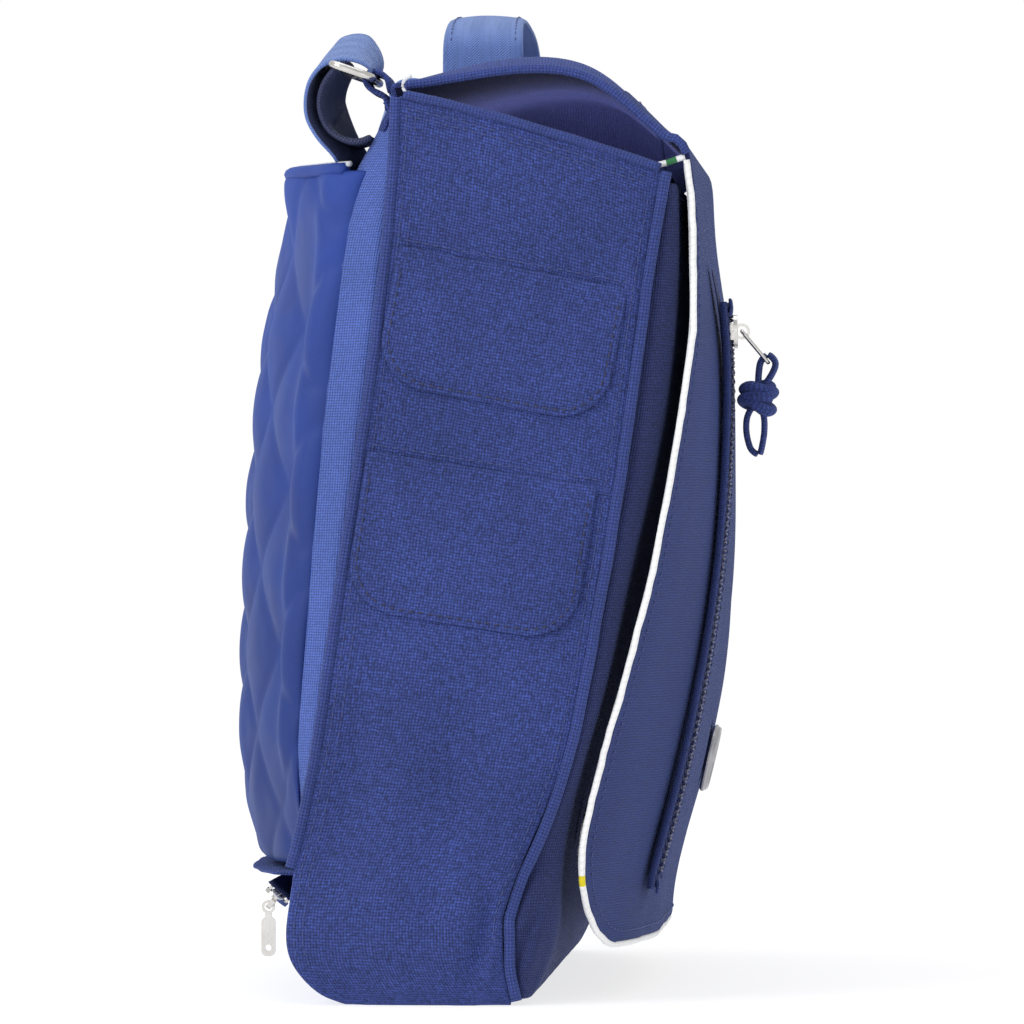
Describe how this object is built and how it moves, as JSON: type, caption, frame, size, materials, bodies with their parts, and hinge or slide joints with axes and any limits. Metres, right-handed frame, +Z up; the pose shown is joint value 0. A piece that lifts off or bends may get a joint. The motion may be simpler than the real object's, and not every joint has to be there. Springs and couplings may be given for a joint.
{
  "type": "diaper bag",
  "caption": "Messenger-style diaper bag: front flap with curved zip, quilted rear pocket, side pockets, grab handle and stowed shoulder strap.",
  "frame": {"origin": "on the ground at the middle of the flat base, below the main compartment", "axes": "+Z up, -Y towards the front flap, +X across the width towards the wearer's right when the flap faces away"},
  "size_m": [0.3848, 0.2015, 0.359],
  "materials": {
    "woven_blue": "coarse plain weave, matt",
    "quilted_satin": "smooth microfibre with a soft sheen, diamond quilted",
    "strap_twill": "soft woven webbing",
    "lining_white": "plain white lining cloth",
    "piping_white": "white ribbed piping",
    "elastic": "knitted elastic",
    "board": "stiff grey board",
    "zip_tape": "woven zip tape",
    "rear_coil": "silver nylon coil",
    "flap_coil": "dark nylon coil",
    "nickel": "nickel plate",
    "badge_metal": "brushed plain metal",
    "adjuster_metal": "nickel plate"
  },
  "bodies": {
    "bag": {"side_gusset_left": "woven_blue", "side_gusset_right": "woven_blue", "side_pouches_left": "lining_white", "side_pouches_right": "lining_white", "back_seam_cords": "woven_blue", "front_seam_cords": "woven_blue", "base_panel": "woven_blue", "front_panel": "woven_blue", "heel_panel": "woven_blue", "back_panel": "woven_blue", "lining": "lining_white", "base_board": "board", "inner_pocket": "lining_white", "inner_pocket_elastic": "elastic", "mouth_binding": "woven_blue", "front_pocket": "woven_blue", "quilted_panel": "quilted_satin", "rear_pocket_binding": "quilted_satin", "rear_pocket_foot": "woven_blue", "rear_zip_tape": "zip_tape", "rear_zip_chain": "rear_coil", "body_magnets": "nickel", "strap_tab_left": "woven_blue", "strap_tab_right": "woven_blue", "strap_stowed": "strap_twill"},
    "flap_roof": {"flap_roof": "woven_blue", "flap_roof_piping": "woven_blue", "handle_patches": "woven_blue"},
    "handle": {"grab_handle": "strap_twill"},
    "flap_front": {"flap_front": "woven_blue", "flap_lining": "lining_white", "flap_front_piping": "piping_white", "flap_zip_tape": "zip_tape", "flap_zip_chain": "flap_coil", "flap_badge": "badge_metal", "flap_magnets": "nickel"},
    "flap_slider": {"flap_zip_slider": "nickel"},
    "flap_bail": {"flap_zip_bail": "nickel"},
    "flap_pull": {"flap_zip_pull": "woven_blue"},
    "rear_slider": {"rear_zip_slider": "nickel"},
    "rear_pull": {"rear_zip_pull": "nickel"},
    "pocket_flap_upper_left": {"pocket_flap_upper_left": "woven_blue"},
    "pocket_flap_upper_right": {"pocket_flap_upper_right": "woven_blue"},
    "pocket_flap_lower_left": {"pocket_flap_lower_left": "woven_blue"},
    "pocket_flap_lower_right": {"pocket_flap_lower_right": "woven_blue"},
    "ring_left": {"strap_ring_left": "nickel", "strap_end_left": "strap_twill"},
    "ring_right": {"strap_ring_right": "nickel", "strap_end_right": "strap_twill"},
    "adjuster": {"strap_adjuster": "adjuster_metal"}
  },
  "joints": [
    {"name": "flap_lift", "type": "hinge", "parent": "bag", "child": "flap_roof", "pos_m": [0, 0.0332, 0.3228], "axis": [-1, 0, 0], "range_deg": [0, 70]},
    {"name": "flap_fold", "type": "hinge", "parent": "flap_roof", "child": "flap_front", "pos_m": [0, -0.0678, 0.3], "axis": [-1, 0, 0], "range_deg": [0, 100]},
    {"name": "handle_tilt", "type": "hinge", "parent": "flap_roof", "child": "handle", "pos_m": [0, 0.009, 0.3365], "axis": [1, 0, 0], "range_deg": [-25, 25]},
    {"name": "flap_zip_run", "type": "hinge", "parent": "flap_front", "child": "flap_slider", "pos_m": [0, 0.52946, 0.22082], "axis": [1, 0, 0], "range_deg": [0, 18]},
    {"name": "flap_bail_swing", "type": "hinge", "parent": "flap_slider", "child": "flap_bail", "pos_m": [-0.12, -0.08685, 0.23775], "axis": [-1, 0, 0], "range_deg": [0, 95]},
    {"name": "flap_pull_swing", "type": "hinge", "parent": "flap_bail", "child": "flap_pull", "pos_m": [-0.12, -0.09623, 0.22657], "axis": [-1, 0, 0], "range_deg": [0, 60]},
    {"name": "rear_zip_run", "type": "slide", "parent": "bag", "child": "rear_slider", "axis": [1, 0, 0], "range_m": [0, 0.32]},
    {"name": "rear_pull_swing", "type": "hinge", "parent": "rear_slider", "child": "rear_pull", "pos_m": [-0.16, 0.08004, 0.03307], "axis": [1, 0, 0], "range_deg": [0, 90]},
    {"name": "strap_ring_left_swing", "type": "hinge", "parent": "bag", "child": "ring_left", "pos_m": [-0.166, 0.0415, 0.3255], "axis": [1, 0, 0], "range_deg": [0, 35]},
    {"name": "strap_ring_right_swing", "type": "hinge", "parent": "bag", "child": "ring_right", "pos_m": [0.166, 0.0415, 0.3255], "axis": [1, 0, 0], "range_deg": [0, 35]},
    {"name": "strap_adjuster_run", "type": "slide", "parent": "bag", "child": "adjuster", "axis": [1, 0, 0], "range_m": [0, 0.1]},
    {"name": "pocket_flap_upper_left_lift", "type": "hinge", "parent": "bag", "child": "pocket_flap_upper_left", "pos_m": [-0.1914, -0.0085, 0.258], "axis": [0, 0.982, 0.1891], "range_deg": [0, 120]},
    {"name": "pocket_flap_upper_right_lift", "type": "hinge", "parent": "bag", "child": "pocket_flap_upper_right", "pos_m": [0.1914, -0.0085, 0.258], "axis": [0, -0.982, -0.1891], "range_deg": [0, 120]},
    {"name": "pocket_flap_lower_left_lift", "type": "hinge", "parent": "bag", "child": "pocket_flap_lower_left", "pos_m": [-0.1914, 0.0025, 0.1875], "axis": [0, 0.988, 0.1547], "range_deg": [0, 120]},
    {"name": "pocket_flap_lower_right_lift", "type": "hinge", "parent": "bag", "child": "pocket_flap_lower_right", "pos_m": [0.1914, 0.0025, 0.1875], "axis": [0, -0.988, -0.1547], "range_deg": [0, 120]}
  ]
}
